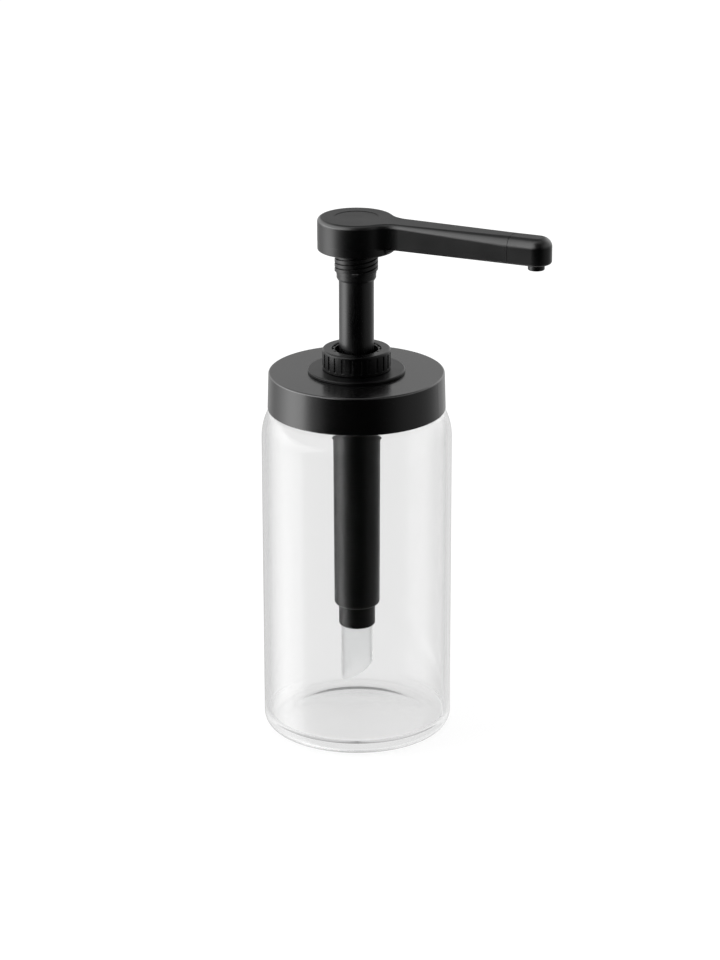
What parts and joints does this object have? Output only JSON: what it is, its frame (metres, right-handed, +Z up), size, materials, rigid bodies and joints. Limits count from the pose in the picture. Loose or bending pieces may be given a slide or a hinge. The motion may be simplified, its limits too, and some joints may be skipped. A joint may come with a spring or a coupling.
{
  "type": "dosing dispenser",
  "caption": "Clear glass jar with a black screw lid carrying a hand pump: ribbed collar, hollow stem, round press head with a long swivelling spout arm, and a slant-cut dip tube.",
  "frame": {"origin": "on the jar's axis, on the surface that it stands on", "axes": "+Z up along the jar and the pump, +X along the spout arm at rest"},
  "size_m": [0.1412, 0.09, 0.2528],
  "materials": {
    "glass": "clear, polished",
    "black_plastic": "satin, moulded",
    "natural_plastic": "milky, translucent",
    "silicone": "translucent, soft",
    "steel": "drawn and polished"
  },
  "bodies": {
    "jar": {"glass_jar": "glass"},
    "seal": {"lid_seal": "silicone"},
    "lid": {"screw_lid": "black_plastic", "neck_adapter": "black_plastic", "adapter_washer": "silicone", "adapter_nut": "black_plastic"},
    "pump": {"pump_cylinder": "black_plastic", "lock_insert": "black_plastic", "stem_wiper": "silicone", "neck_gasket": "silicone", "valve_cage": "natural_plastic", "dip_tube": "natural_plastic", "return_spring": "steel"},
    "collar": {"collar": "black_plastic"},
    "piston": {"piston_carrier": "natural_plastic", "piston_seal": "natural_plastic", "ball_stop": "natural_plastic"},
    "head": {"pump_stem": "black_plastic", "pump_head": "black_plastic", "spout_tip": "black_plastic", "tip_ring": "silicone", "outlet_nozzle": "black_plastic"},
    "inlet_ball": {"inlet_ball": "steel"},
    "outlet_ball": {"outlet_ball": "steel"}
  },
  "joints": [
    {"name": "lid_lift", "type": "slide", "parent": "jar", "child": "seal", "axis": [0, 0, 1], "range_m": [0, 0.1539]},
    {"name": "lid_turn", "type": "hinge", "parent": "seal", "child": "lid", "pos_m": [0, 0, 0.178], "axis": [0, 0, 1], "range_deg": [0, 360]},
    {"name": "pump_lift", "type": "slide", "parent": "lid", "child": "pump", "axis": [0, 0, 1], "range_m": [0, 0.164]},
    {"name": "collar_turn", "type": "hinge", "parent": "pump", "child": "collar", "pos_m": [0, 0, 0.1895], "axis": [0, 0, 1], "range_deg": [0, 360]},
    {"name": "pump_press", "type": "slide", "parent": "pump", "child": "piston", "axis": [0, 0, -1], "range_m": [0, 0.0478], "stiffness_N_per_m": 320, "springref_m": -0.012, "deforming": ["return_spring"]},
    {"name": "head_turn", "type": "hinge", "parent": "piston", "child": "head", "pos_m": [0, 0, 0.2374], "axis": [0, 0, 1], "continuous": true},
    {"name": "inlet_ball_lift", "type": "slide", "parent": "pump", "child": "inlet_ball", "axis": [0, 0, 1], "range_m": [0, 0.002]},
    {"name": "outlet_ball_lift", "type": "slide", "parent": "piston", "child": "outlet_ball", "axis": [0, 0, 1], "range_m": [0, 0.0022]}
  ]
}
